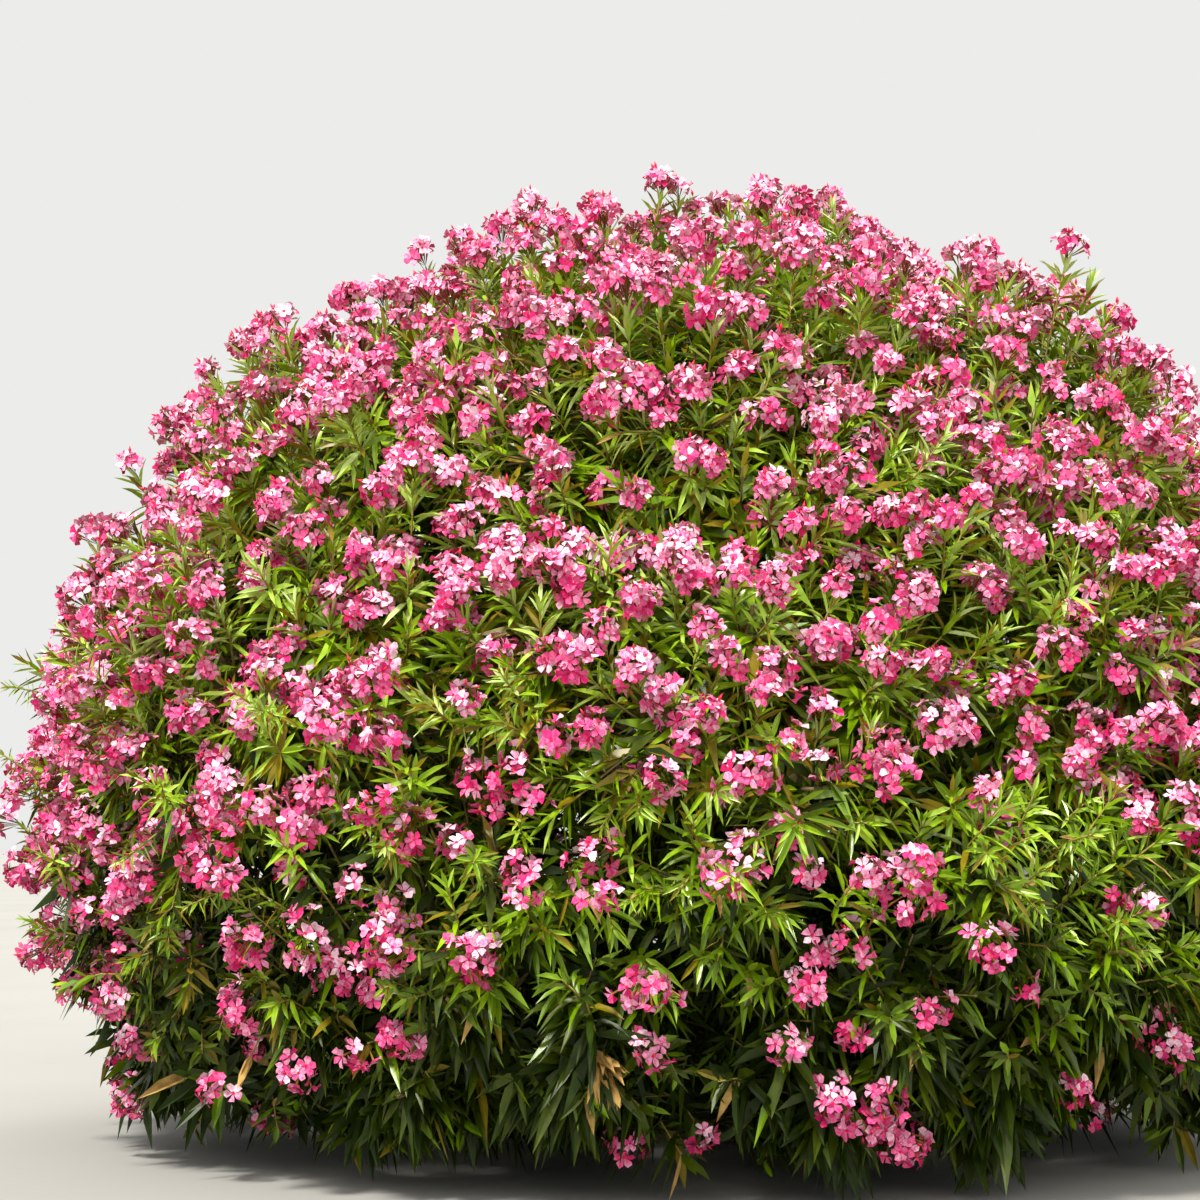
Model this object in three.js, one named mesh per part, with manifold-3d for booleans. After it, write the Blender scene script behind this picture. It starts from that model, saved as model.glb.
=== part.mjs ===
// A pink oleander shrub rooted in the ground: a clump of arching stems under one broad dome of leaves and blossom.
// Millimetres, +Z up. The origin is at ground level under the root crown, and the front faces -Y.
import * as THREE from "three";
import { mergeVertices } from "three/addons/utils/BufferGeometryUtils.js";
import Module from "manifold-3d";

const wasm = await Module();
wasm.setup();

// The crown: half its width and depth, its top, its widest level, how its outline curves in above and below that
// level, and how far its top leans to the right.
const HALF_WIDTH = 1790;
const HALF_DEPTH = 1600;
const TOP = 2470;
const WIDEST = 720;
const DOME_POWER = 2.12;
const TUCK = 0.2;
const TUCK_POWER = 1.7;
const LEAN = 65;
const LEAN_POWER = 5;

// How low the foliage hangs, and shares of the way from the origin to the crown's surface: the bare hollow that the
// limbs fill, the masses' cores and hearts, and the furthest reach of leaf and blossom.
const LOWEST = 40;
const HOLLOW = 0.6;
const LEAFY = 0.62;
const CORE_FROM = 0.65;
const CORE_TO = 0.855;
const HEART = 0.78;
const REACH = 1.035;

// Each mass's own space: the gap to its neighbours' leaves and cores, and how much its edge tips are drawn in.
const CLEAR = 2.5;
const CORE_CLEAR = 16;
const TIP_SHARE = 0.985;
const GROOVE = 0.06;

// Rings of foliage masses, from the ground up.
const RINGS = [
  { name: "skirt", count: 8, height: 400, turn: 22.5 },
  { name: "middle", count: 8, height: 1180, turn: 0 },
  { name: "upper", count: 6, height: 1890, turn: 30 },
  { name: "top", count: 2, height: 2330, turn: 0 },
];

// Shoots: how many the crown has, the share of them that flower, and the sizes of twig, leaf and blossom.
const SHOOTS = 176;
const FLOWERING = 0.64;
const SEED = 41;
const TWIG = { base: 10, tip: 8 };
const LEAF = { length: 310, width: 84, root: 16, widestAt: 0.45, shortest: 0.84, longest: 1.12 };
const BLOSSOM = { radius: 112, notch: 76, dome: 42, neck: 55, petals: 5 };

// Whorls of leaves on a shoot, each by its distance below the tip, its leaves' spread from the shoot and their size.
const UNDER_BLOSSOM = [{ below: 165, spread: 52, size: 1 }];
const LEAFY_END = [{ below: 270, spread: 62, size: 1 }, { below: 160, spread: 34, size: 0.85 }];

// Wood: the root crown's half width and depth at ground level, its height and the level where stems leave it, and
// the stems, leaders and boughs: their radius from foot to tip, how far out their feet stand, and how they rise.
const ROOT = { width: 205, depth: 175, height: 120, stub: 155, below: 60, lobes: 7, lobeDepth: 0.09 };
const ROOT_PROFILE = [[0, 1], [0.3, 0.84], [0.65, 0.7], [1, 0.5]];
const STEM = { base: 34, tip: 15, foot: 105, rise: 420 };
const LEADER = { base: 30, tip: 14, foot: 45, rise: 700 };
const BOUGH = { base: 20, tip: 11 };
const MASS_STEM = { base: 12, tip: 10, sides: 5, shootsFrom: 0.45, shootsTo: 0.95 };
const FLARE_OUT = 2.2;
const LEAVING = 0.3;
const ARRIVING = 0.38;
const FORK = { low: 0.36, high: 0.55, side: 12 };
const LIMB_SIDES = 7;
const LIMB_STEPS = 6;
const GAP = 0.3;

const GOLDEN_ANGLE = Math.PI * (3 - Math.sqrt(5));
const SMALLEST = 0.05;
const MERGE = 1e-3;
const HALVINGS = 30;

// A seeded run of numbers from 0 to 1.
function dice(seed) {
  let state = seed >>> 0;
  return () => {
    state = (Math.imul(state, 1664525) + 1013904223) >>> 0;
    return state / 4294967296;
  };
}

// The crown's outline: the share of its full width that it has at a height.
function outline(height) {
  if (height >= WIDEST) {
    const rise = Math.min(1, (height - WIDEST) / (TOP - WIDEST));
    return Math.pow(1 - Math.pow(rise, DOME_POWER), 1 / DOME_POWER);
  }
  return 1 - TUCK * Math.pow((WIDEST - height) / WIDEST, TUCK_POWER);
}

// How far the crown's axis has moved to the right at a height.
function leanAt(height) {
  return LEAN * Math.pow(Math.max(0, height) / TOP, LEAN_POWER);
}

// The point of the crown's surface at a height and a turn round the axis, drawn in towards the origin by a share.
function crownPoint(height, turn, share = 1) {
  const width = outline(height);
  const across = HALF_WIDTH * width * Math.cos(turn) + leanAt(height);
  return new THREE.Vector3(across, HALF_DEPTH * width * Math.sin(turn), height).multiplyScalar(share);
}

// The share of the way to the crown's surface that a point lies at: 1 is on the surface.
function shareOf(point) {
  let low = Math.max(point.z / TOP, 1e-6);
  let high = 3;
  for (let i = 0; i < HALVINGS; i++) {
    const share = (low + high) / 2;
    const across = point.x / share - leanAt(point.z / share);
    const width = Math.hypot(across / HALF_WIDTH, point.y / share / HALF_DEPTH);
    if (width > outline(point.z / share)) low = share;
    else high = share;
  }
  return (low + high) / 2;
}

// Points spread evenly over the crown's surface by the golden angle, from its foot to its top.
function evenPoints(count) {
  const slices = 400;
  const foot = 3 * LOWEST;
  const heights = [];
  const areas = [0];
  for (let i = 0; i <= slices; i++) {
    const rise = Math.sin((i / slices) * (Math.PI / 2));
    heights.push(foot + rise * (TOP - foot));
  }
  for (let i = 1; i <= slices; i++) {
    const [below, above] = [outline(heights[i - 1]), outline(heights[i])];
    const slope = Math.hypot(heights[i] - heights[i - 1], HALF_WIDTH * (above - below));
    areas.push(areas[i - 1] + (slope * (above + below)) / 2);
  }
  const points = [];
  let slice = 1;
  for (let k = 0; k < count; k++) {
    const area = ((k + 0.5) / count) * areas[slices];
    while (areas[slice] < area) slice++;
    const within = (area - areas[slice - 1]) / (areas[slice] - areas[slice - 1]);
    const height = heights[slice - 1] + within * (heights[slice] - heights[slice - 1]);
    points.push(crownPoint(height, k * GOLDEN_ANGLE));
  }
  return points;
}

// The masses, each with its heart and the point of the hollow's edge where its stem starts.
function layOutMasses() {
  const masses = [];
  for (const ring of RINGS)
    for (let i = 0; i < ring.count; i++) {
      const turn = THREE.MathUtils.degToRad(ring.turn + (360 * i) / ring.count);
      const heart = crownPoint(ring.height, turn, HEART);
      const door = crownPoint(ring.height, turn, HOLLOW);
      masses.push({ name: `${ring.name}_foliage_${i + 1}`, ring: ring.name, turn, heart, door });
    }
  return masses;
}

// How far a point lies inside a mass's own space, past the planes midway to its neighbours.
function roomIn(mass, masses, point) {
  let room = Infinity;
  for (const other of masses) {
    if (other === mass) continue;
    const across = other.heart.clone().sub(mass.heart);
    const middle = other.heart.clone().add(mass.heart).multiplyScalar(0.5);
    room = Math.min(room, middle.sub(point).dot(across) / across.length());
  }
  return room;
}

// A closed mesh from points and triangles.
function meshOf(points, triangles) {
  const flat = points.flatMap((p) => [p.x, p.y, p.z]);
  return new THREE.BufferGeometry()
    .setAttribute("position", new THREE.Float32BufferAttribute(flat, 3))
    .setIndex(triangles.flat());
}

// Rings of points joined into a closed tube with flat ends.
function tubeOf(rings) {
  const sides = rings[0].length;
  const points = rings.flat();
  const triangles = [];
  for (let r = 0; r + 1 < rings.length; r++)
    for (let s = 0; s < sides; s++) {
      const [a, b] = [r * sides + s, r * sides + ((s + 1) % sides)];
      triangles.push([a, b, b + sides], [a, b + sides, a + sides]);
    }
  const top = (rings.length - 1) * sides;
  for (let s = 1; s + 1 < sides; s++) triangles.push([0, s + 1, s], [top, top + s, top + s + 1]);
  return meshOf(points, triangles);
}

// Two directions square to a third and to each other, so that turning from the first to the second goes round it.
function crossAxes(ahead) {
  const guide = Math.abs(ahead.z) > 0.9 ? new THREE.Vector3(1, 0, 0) : new THREE.Vector3(0, 0, 1);
  const first = new THREE.Vector3().crossVectors(guide, ahead).normalize();
  return [first, new THREE.Vector3().crossVectors(ahead, first)];
}

// The direction at an angle round the way ahead.
function turned([first, second], angle) {
  return first.clone().multiplyScalar(Math.cos(angle)).addScaledVector(second, Math.sin(angle));
}

// A ring of points round a centre.
function ringOf(centre, axes, radius, sides, turn = 0) {
  return Array.from({ length: sides }, (_, s) =>
    centre.clone().addScaledVector(turned(axes, turn + (2 * Math.PI * s) / sides), radius),
  );
}

// A tapering limb along a curve, made fatter where it is to cut another limb clear.
function limb(curve, size, sides, steps, grow = 0) {
  const rings = [];
  let [first] = crossAxes(curve.getTangent(0));
  for (let i = 0; i <= steps; i++) {
    const along = i / steps;
    const ahead = curve.getTangent(along);
    const second = new THREE.Vector3().crossVectors(ahead, first).normalize();
    first = new THREE.Vector3().crossVectors(second, ahead);
    const radius = THREE.MathUtils.lerp(size.base, size.tip, along) + grow;
    rings.push(ringOf(curve.getPoint(along), [first, second], radius, sides));
  }
  return tubeOf(rings);
}

// The two walls of a tube between the corners of one side.
function wall([a, b], [c, d]) {
  return [[a, b, d], [a, d, c]];
}

// A leaf of eight faces that grows out of one side of a twig, from the side's lower and upper corners.
function leafFaces([a, b], [c, d], [left, right, tip]) {
  return [
    [d, c, tip], [c, left, tip], [d, tip, right],
    [a, b, tip], [b, right, tip], [a, tip, left],
    [b, d, right], [c, a, left],
  ];
}

// A shoot: a three-sided twig with whorls of three leaves, ended by a domed star of blossom or by its last leaves.
// Leaves and blossom that do not keep to the mass's space are left off.
function shoot(start, tip, turn, flowers, roll, keeps) {
  const points = [];
  const triangles = [];
  const add = (point) => points.push(point) - 1;
  const length = start.distanceTo(tip);
  const ahead = tip.clone().sub(start).divideScalar(length);
  const axes = crossAxes(ahead);
  const placeAt = (distance) => start.clone().addScaledVector(ahead, distance);
  const ringAt = (distance) => {
    const radius = THREE.MathUtils.lerp(TWIG.base, TWIG.tip, distance / length);
    return ringOf(placeAt(distance), axes, radius, 3, turn).map(add);
  };
  const cornersOf = (ring, side) => [ring[side], ring[(side + 1) % 3]];
  let last = ringAt(0);
  triangles.push([last[0], last[2], last[1]]);
  const climb = (distance) => {
    const next = ringAt(distance);
    for (let side = 0; side < 3; side++) triangles.push(...wall(cornersOf(last, side), cornersOf(next, side)));
    last = next;
  };
  for (const { below, spread, size } of flowers ? UNDER_BLOSSOM : LEAFY_END) {
    climb(length - below - LEAF.root / 2);
    const above = ringAt(length - below + LEAF.root / 2);
    for (let side = 0; side < 3; side++) {
      const angle = turn + (2 * Math.PI * (side + 0.5)) / 3;
      const tilt = THREE.MathUtils.degToRad(spread + 12 * (roll() - 0.5));
      const scale = size * THREE.MathUtils.lerp(LEAF.shortest, LEAF.longest, roll());
      const along = ahead.clone().multiplyScalar(Math.cos(tilt)).addScaledVector(turned(axes, angle), Math.sin(tilt));
      const across = turned(axes, angle + Math.PI / 2).multiplyScalar((LEAF.width * scale) / 2);
      const root = placeAt(length - below);
      const widest = root.clone().addScaledVector(along, LEAF.length * scale * LEAF.widestAt);
      const edge = [widest.clone().sub(across), widest.clone().add(across)];
      edge.push(root.clone().addScaledVector(along, LEAF.length * scale));
      const corners = [cornersOf(last, side), cornersOf(above, side)];
      triangles.push(...(keeps(edge) ? leafFaces(...corners, edge.map(add)) : wall(...corners)));
    }
    last = above;
  }
  const rim = Array.from({ length: 2 * BLOSSOM.petals }, (_, i) => {
    const out = turned(axes, turn + (Math.PI * i) / BLOSSOM.petals);
    return tip.clone().addScaledVector(out, i % 2 ? BLOSSOM.notch : BLOSSOM.radius);
  });
  if (flowers && keeps(rim)) {
    climb(length - BLOSSOM.neck);
    triangles.push(...blossomFaces(last, rim.map(add), add(placeAt(length + BLOSSOM.dome))));
  } else triangles.push(last);
  return meshOf(points, triangles);
}

// A head of blossom over a twig's last three corners: a star of petals, domed on top and drawn in to the twig below.
function blossomFaces(neck, rim, crown) {
  const faces = [];
  const nearest = (i) => Math.round(((i + 0.5) * neck.length) / rim.length) % neck.length;
  for (let i = 0; i < rim.length; i++) {
    const next = (i + 1) % rim.length;
    const [here, before] = [nearest(i), nearest((i + rim.length - 1) % rim.length)];
    faces.push([rim[i], rim[next], crown], [neck[here], rim[next], rim[i]]);
    if (here !== before) faces.push([neck[before], neck[here], rim[i]]);
  }
  return faces;
}

// Solids are joined and cut here, and read back as geometry.
function solidOf(geometry) {
  const bare = geometry.clone();
  for (const name of ["normal", "uv"]) bare.deleteAttribute(name);
  const merged = mergeVertices(bare, MERGE);
  return new wasm.Manifold(
    new wasm.Mesh({
      numProp: 3,
      vertProperties: merged.attributes.position.array,
      triVerts: new Uint32Array(merged.index.array),
    }),
  );
}

function geometryOf(solid) {
  const read = solid.getMesh();
  const places = new Float32Array(read.numVert * 3);
  for (let i = 0; i < read.numVert; i++)
    places.set(read.vertProperties.subarray(i * read.numProp, i * read.numProp + 3), i * 3);
  return new THREE.BufferGeometry()
    .setAttribute("position", new THREE.BufferAttribute(places, 3))
    .setIndex(new THREE.BufferAttribute(read.triVerts, 1));
}

// The largest body of a solid, with its slivers smoothed away. Loose scraps are dropped.
function largestBody(solid) {
  const bodies = solid.simplify(SMALLEST).decompose();
  return bodies.reduce((best, body) => (body.volume() > best.volume() ? body : best));
}

// A limb's centre line: it leaves its foot one way and reaches its mass's door square to it.
function limbCurve(foot, leaving, door) {
  const reach = foot.distanceTo(door);
  const before = door.clone().addScaledVector(door.clone().normalize(), -ARRIVING * reach);
  return new THREE.CubicBezierCurve3(foot, leaving, before, door);
}

// The stems or leaders that rise from the root crown, one to each mass of a ring.
function layOutStems(masses, size, label) {
  return masses.map((mass, i) => {
    const [x, y] = [Math.cos(mass.turn), Math.sin(mass.turn) * (ROOT.depth / ROOT.width)];
    const foot = new THREE.Vector3(x * size.foot, y * size.foot, -ROOT.below);
    const leaving = new THREE.Vector3(x * size.foot * FLARE_OUT, y * size.foot * FLARE_OUT, size.rise);
    return { name: `${label}_${i + 1}`, mass, size, from: null, curve: limbCurve(foot, leaving, mass.door) };
  });
}

// The boughs that fork from the stems at a share of their length, one to each mass of a ring.
function layOutBoughs(masses, stems, share, label) {
  return masses.map((mass, i) => {
    const near = (stem) => Math.cos(stem.mass.turn - mass.turn + THREE.MathUtils.degToRad(FORK.side));
    const from = stems.reduce((best, stem) => (near(stem) > near(best) ? stem : best));
    const foot = from.curve.getPoint(share);
    const leaving = foot.clone().addScaledVector(from.curve.getTangent(share), LEAVING * foot.distanceTo(mass.door));
    return { name: `${label}_${i + 1}`, mass, size: BOUGH, from, curve: limbCurve(foot, leaving, mass.door) };
  });
}

// Every limb, the stems before the boughs that fork from them.
function layOutLimbs(masses) {
  const ring = (name) => masses.filter((mass) => mass.ring === name);
  const stems = layOutStems(ring("middle"), STEM, "stem");
  return [
    ...stems,
    ...layOutStems(ring("top"), LEADER, "leader"),
    ...layOutBoughs(ring("skirt"), stems, FORK.low, "low_bough"),
    ...layOutBoughs(ring("upper"), stems, FORK.high, "high_bough"),
  ];
}

function limbGeometry(one, grow = 0) {
  return limb(one.curve, one.size, LIMB_SIDES, LIMB_STEPS, grow);
}

// The woody foot of the clump: a flared, lobed lump with a stub for each stem, cut flat at ground level.
function rootCrown(limbs) {
  const sides = 3 * ROOT.lobes;
  const levels = [[-ROOT.below / ROOT.height, 1.1], ...ROOT_PROFILE];
  const rings = levels.map(([rise, share]) =>
    Array.from({ length: sides }, (_, s) => {
      const angle = (2 * Math.PI * s) / sides;
      const size = share * (1 + ROOT.lobeDepth * Math.cos(ROOT.lobes * angle));
      const [x, y] = [ROOT.width * size * Math.cos(angle), ROOT.depth * size * Math.sin(angle)];
      return new THREE.Vector3(x, y, rise * ROOT.height);
    }),
  );
  const stubs = limbs.filter((one) => !one.from).map((one) => solidOf(limbGeometry(one)).subtract(above(ROOT.stub)));
  return largestBody(wasm.Manifold.union([solidOf(tubeOf(rings)), ...stubs]).intersect(above(0)));
}

// All the space above a level.
function above(level) {
  const size = 4 * TOP;
  return solidOf(new THREE.BoxGeometry(size, size, size).translate(0, 0, level + size / 2));
}

// A limb, cut clear of the root crown or of the limb that it forks from, and of the boughs made before it.
function limbSolid(one, made) {
  let solid = solidOf(limbGeometry(one));
  if (!one.from) solid = solid.intersect(above(ROOT.stub + GAP));
  else solid = solid.subtract(solidOf(limbGeometry(one.from, GAP)));
  for (const other of made)
    if (other.from && other.from === one.from) solid = solid.subtract(solidOf(limbGeometry(other, GAP)));
  return largestBody(solid);
}

// A mass's core: a rounded body that fills the middle of its own space.
function core(mass, masses) {
  const ball = new THREE.IcosahedronGeometry(1, 1);
  for (const name of ["normal", "uv"]) ball.deleteAttribute(name);
  const merged = mergeVertices(ball, MERGE);
  const places = merged.attributes.position;
  const fills = (point) => {
    const share = shareOf(point);
    if (share < CORE_FROM || share > CORE_TO || point.z < 3 * LOWEST) return false;
    return roomIn(mass, masses, point) > CORE_CLEAR;
  };
  for (let i = 0; i < places.count; i++) {
    const ray = new THREE.Vector3().fromBufferAttribute(places, i).normalize();
    let [near, far] = [0, HALF_WIDTH];
    for (let n = 0; n < HALVINGS; n++) {
      const middle = (near + far) / 2;
      if (fills(mass.heart.clone().addScaledVector(ray, middle))) near = middle;
      else far = middle;
    }
    places.setXYZ(i, ...mass.heart.clone().addScaledVector(ray, near).toArray());
  }
  return merged;
}

// Whether points keep to a mass's own space: off the ground, outside the limbs' hollow and clear of the neighbours.
function keepsIn(points, mass, masses) {
  return points.every((point) => {
    const share = shareOf(point);
    if (point.z < LOWEST || share < LEAFY || share > REACH) return false;
    return roomIn(mass, masses, point) > CLEAR;
  });
}

// One mass: a stem that grows on from its limb, a core round it, and shoots to the tips that it serves.
function massSolid(mass, masses, tips) {
  const roll = dice(SEED + masses.indexOf(mass));
  const outward = mass.door.clone().normalize();
  const stem = new THREE.LineCurve3(mass.door.clone().addScaledVector(outward, GAP), mass.heart);
  const parts = [solidOf(limb(stem, MASS_STEM, MASS_STEM.sides, 1)), solidOf(core(mass, masses))];
  const keeps = (points) => keepsIn(points, mass, masses);
  for (const tip of tips) {
    const start = stem.getPoint(THREE.MathUtils.lerp(MASS_STEM.shootsFrom, MASS_STEM.shootsTo, roll()));
    const flowers = roll() < FLOWERING;
    parts.push(solidOf(shoot(start, tip, roll() * 2 * Math.PI, flowers, roll, keeps)));
  }
  return largestBody(wasm.Manifold.union(parts));
}

// The tips that each mass serves, drawn in a little near the mass's edge so that each mass swells on its own.
function dealTips(masses) {
  const dealt = new Map(masses.map((mass) => [mass, []]));
  for (const point of evenPoints(SHOOTS)) {
    const inner = point.clone().multiplyScalar(HEART);
    const near = masses.map((mass) => ({ mass, away: mass.heart.distanceTo(inner) }));
    near.sort((a, b) => a.away - b.away);
    const edge = near[0].away / near[1].away;
    dealt.get(near[0].mass).push(point.clone().multiplyScalar(TIP_SHARE - GROOVE * Math.pow(edge, 4)));
  }
  return dealt;
}

const bark = new THREE.MeshStandardMaterial({ color: 0x7a6652, roughness: 0.9, metalness: 0 });
const foliage = new THREE.MeshStandardMaterial({ color: 0x5c7d2c, roughness: 0.6, metalness: 0 });

function named(name, solid, material) {
  const mesh = new THREE.Mesh(geometryOf(solid), material);
  mesh.name = name;
  return mesh;
}

function buildShrub() {
  const shrub = new THREE.Group();
  const masses = layOutMasses();
  const limbs = layOutLimbs(masses);
  shrub.add(named("root_crown", rootCrown(limbs), bark));
  const made = [];
  for (const one of limbs) {
    shrub.add(named(one.name, limbSolid(one, made), bark));
    made.push(one);
  }
  const dealt = dealTips(masses);
  for (const mass of masses) shrub.add(named(mass.name, massSolid(mass, masses, dealt.get(mass)), foliage));
  return shrub;
}

export default buildShrub();
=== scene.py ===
# A pink oleander shrub rooted in the ground: bark, twigs, leaves and blossom that grow on from its stems and
# boughs. Metres, +Z up. The origin is at ground level under the root crown, and the front faces -Y.
import math

import bpy
import numpy as np
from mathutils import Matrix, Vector
from mathutils.kdtree import KDTree


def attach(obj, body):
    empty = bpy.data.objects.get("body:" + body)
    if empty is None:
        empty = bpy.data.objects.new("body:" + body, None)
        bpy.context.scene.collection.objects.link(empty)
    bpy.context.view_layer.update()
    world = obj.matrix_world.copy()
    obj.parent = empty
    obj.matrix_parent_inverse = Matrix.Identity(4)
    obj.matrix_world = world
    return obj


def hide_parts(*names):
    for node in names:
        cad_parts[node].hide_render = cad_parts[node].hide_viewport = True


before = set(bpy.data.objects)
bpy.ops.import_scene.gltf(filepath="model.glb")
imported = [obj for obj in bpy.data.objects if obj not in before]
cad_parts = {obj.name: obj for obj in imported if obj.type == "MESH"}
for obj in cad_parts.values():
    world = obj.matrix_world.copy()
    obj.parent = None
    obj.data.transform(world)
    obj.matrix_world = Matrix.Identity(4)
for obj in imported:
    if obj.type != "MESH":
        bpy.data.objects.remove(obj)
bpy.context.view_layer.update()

# The crown: half its width and depth, top, widest level, how it curves in above and below, and its lean.
HALF_WIDTH, HALF_DEPTH, TOP, WIDEST = 1.79, 1.60, 2.47, 0.72
DOME_POWER, TUCK, TUCK_POWER = 2.12, 0.2, 1.7
LEAN, LEAN_POWER = 0.065, 5

# Shares of the way from the origin to the crown's surface: masses' doors, hearts and tips, and the groove
# where two masses meet. Then how near the ground foliage and its leaves come.
HOLLOW, HEART, TIP_SHARE, GROOVE, GROOVE_POWER = 0.6, 0.78, 0.985, 0.06, 4
LOWEST, GROUND_CLEAR = 0.04, 0.004

# Rings of masses: name, how many, the height where they meet the surface, and the turn of the first.
RINGS = [("skirt", 8, 0.40, 22.5), ("middle", 8, 1.18, 0), ("upper", 6, 1.89, 30), ("top", 2, 2.33, 0)]

# The first division of each mass, by the same rule and dice as in its solid.
SHOOTS, FLOWERING, SEED = 176, 0.64, 41
ROLLS_OF_FLOWERING, ROLLS_OF_LEAFY = 6, 12
MASS_STEM = {"base": 0.013, "tip": 0.009, "from": 0.45, "to": 0.95, "sides": 7}
FIRST_SHOOT = dict(base=0.008, tip=0.0045, length=0.8, sides=5)
FINE_SHOOT = dict(base=0.0042, tip=0.0022, sides=3)
TWIG_STEPS = 5

# The root crown: half its width and depth, its height, how high its stubs and how deep its limbs go, and its
# lobes. The profile: shares of its height and width.
ROOT = dict(width=0.205, depth=0.175, height=0.12, stub=0.155, below=0.06, lobes=7, lobe=0.09)
ROOT_PROFILE = [(0, 1), (0.3, 0.84), (0.65, 0.7), (1, 0.5)]

# Limbs: their radius at both ends, how far out and how steeply they leave the root crown. Then how they curve
# out of it, on from a fork and into a door, and where boughs fork off.
STEM = dict(base=0.034, tip=0.015, foot=0.105, rise=0.42)
LEADER = dict(base=0.030, tip=0.014, foot=0.045, rise=0.70)
BOUGH = dict(base=0.020, tip=0.011)
FLARE_OUT, LEAVING, ARRIVING = 2.2, 0.3, 0.38
LOW_FORK, HIGH_FORK, FORK_SIDE = 0.36, 0.55, 12
LIMB_STEPS, LIMB_SIDES, BARK_DEPTH = 32, 14, 0.07

# The finer division: places for shoots, how far these stray, and the steps of outer and inner shoots' curves.
# Then the leaves, and their joints on each kind of shoot.
SPRAYS, STRAY, SPRAY_STEPS, INNER_STEPS = 3120, 0.03, 4, 2
HIGH_LEAF = dict(length=0.085, width=0.0125, spacing=0.0185)
LOW_LEAF = dict(length=0.114, width=0.0275, spacing=0.021)
OLD_LEAF = dict(length=0.11, width=0.022, spacing=0.026, per_spray=6, start=0.14, sag=0.15)
ARCHING_LEAF = dict(length=0.64, width=0.72, spacing=0.75)
JOINTS = {"leafy": 10, "flowering": 7, "arching": 17, "low head": 10, "inner": 8}

# Shoots of older leaves inside: how many, how far out they end, and below which share they leave a limb. Then
# the part that ends deep inside.
INNER_SHOOTS, INNER_SHARES, FROM_LIMB = 2600, (0.42, 0.87), 0.66
DEEP_PART, DEEP_SHARES = 0.2, (0.14, 0.5)

# Filling shoots, behind the surface and deep inside. Of so many places over the crown, those with fewer leafy
# points than this in reach, at depths straight in, get a shoot that ends between two depths. Leafy points lie
# so far behind a shoot's end.
SPARSE = [
    dict(places=3000, reach=0.07, fewer=6, depths=(0.04, 0.11, 0.18, 0.25, 0.32), ends=(0.12, 0.22)),
    dict(places=1200, reach=0.12, fewer=15, depths=(0.42, 0.56, 0.70, 0.84, 0.98), ends=(0.45, 0.95)),
]
LEAFY_BACKS = (0, 0.05, 0.1, 0.15)

# Places in the photograph, as a turn in degrees and a height: low heads of blossom, and withered shoots with
# their whorls of leaves.
LOW_HEADS = [(-146, 0.45), (-147, 0.34), (-159, 0.2), (-137, 0.24), (-128, 0.45), (-125, 0.33), (-118, 0.37),
             (-113, 0.4), (-95, 0.38), (-85, 0.39), (-80, 0.43), (-75, 0.48), (-79, 0.24), (-75, 0.18),
             (-60, 0.29), (-51, 0.38), (-103, 0.67), (-98, 0.68), (-90, 0.7), (-95, 0.53), (-107, 0.56),
             (-112, 0.57), (-120, 0.59), (-127, 0.7), (-77, 0.69), (-72, 0.59), (-68, 0.51), (-60, 0.63),
             (-81, 0.28), (-77, 0.28), (-77, 0.21)]
WITHERED = [(-99, 0.33, 6), (-98, 0.29, 6), (-129, 0.32, 1)]

# Heights between which the crown changes: from its foot, to its high part, and in and out of its belly. Below
# the last three, leaves are large, shaded and hanging; below the first two, leaves are also painted darker as
# shade.
FOOT, HIGH, BELLY_IN, BELLY_OUT = (0.08, 0.62), (1.2, 2.0), (0.55, 0.8), (1.0, 1.3)
LARGE, SHADED, HANGING = (0.22, 0.65), (0.3, 1.25), (0.2, 1.0)

# The joints up to which leaves open out and grow, from the tip, and how sizes vary.
OPENING_JOINTS, GROWING_JOINTS, VIGOUR = 6, 4, (0.82, 1.18)

# The blossom: the radius of a flower and a head, and how many flowers a head of size 1 has, the least and the
# most. Then its buds, their length, and how wide a bud and a stalk are beside that and a flower's radius.
FLOWER = dict(radius=0.0212, cluster=0.036, count=10.4, least=5, most=15)
BUDS, BUD_LENGTH, BUD_WIDTH, STALK_WIDTH = 3, (0.014, 0.024), 0.17, 0.15

GOLDEN_ANGLE = math.pi * (3 - math.sqrt(5))
UP = np.array([0.0, 0.0, 1.0])

random = np.random.default_rng(SEED)


def dice(seed):
    """A seeded run of numbers from 0 to 1, as the solids use."""
    state = seed
    while True:
        state = (state * 1664525 + 1013904223) & 0xFFFFFFFF
        yield state / 4294967296


def unit(vectors):
    return vectors / np.linalg.norm(vectors, axis=-1, keepdims=True)


def smooth(low, high, value):
    """How far a value has come from low to high, starting and ending gently."""
    share = np.clip((value - low) / (high - low), 0, 1)
    return share * share * (3 - 2 * share)


def pick(columns, used):
    """The used entries of every column of a table."""
    return {key: column[used] for key, column in columns.items()}


def joined(rows):
    """The columns of a table from blocks of its rows."""
    return [np.concatenate(column) for column in zip(*rows)]


def keep_above(points, height):
    """Lifts points that are lower than a height to it."""
    points[..., 2] = np.maximum(points[..., 2], height)


def outline(height):
    """The crown's share of its full width at a height."""
    above = np.clip((height - WIDEST) / (TOP - WIDEST), 0, 1)
    dome = (1 - above**DOME_POWER) ** (1 / DOME_POWER)
    skirt = 1 - TUCK * np.clip((WIDEST - height) / WIDEST, 0, 1) ** TUCK_POWER
    return np.where(height >= WIDEST, dome, skirt)


def lean_at(height):
    return LEAN * (np.maximum(height, 0) / TOP) ** LEAN_POWER


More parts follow.
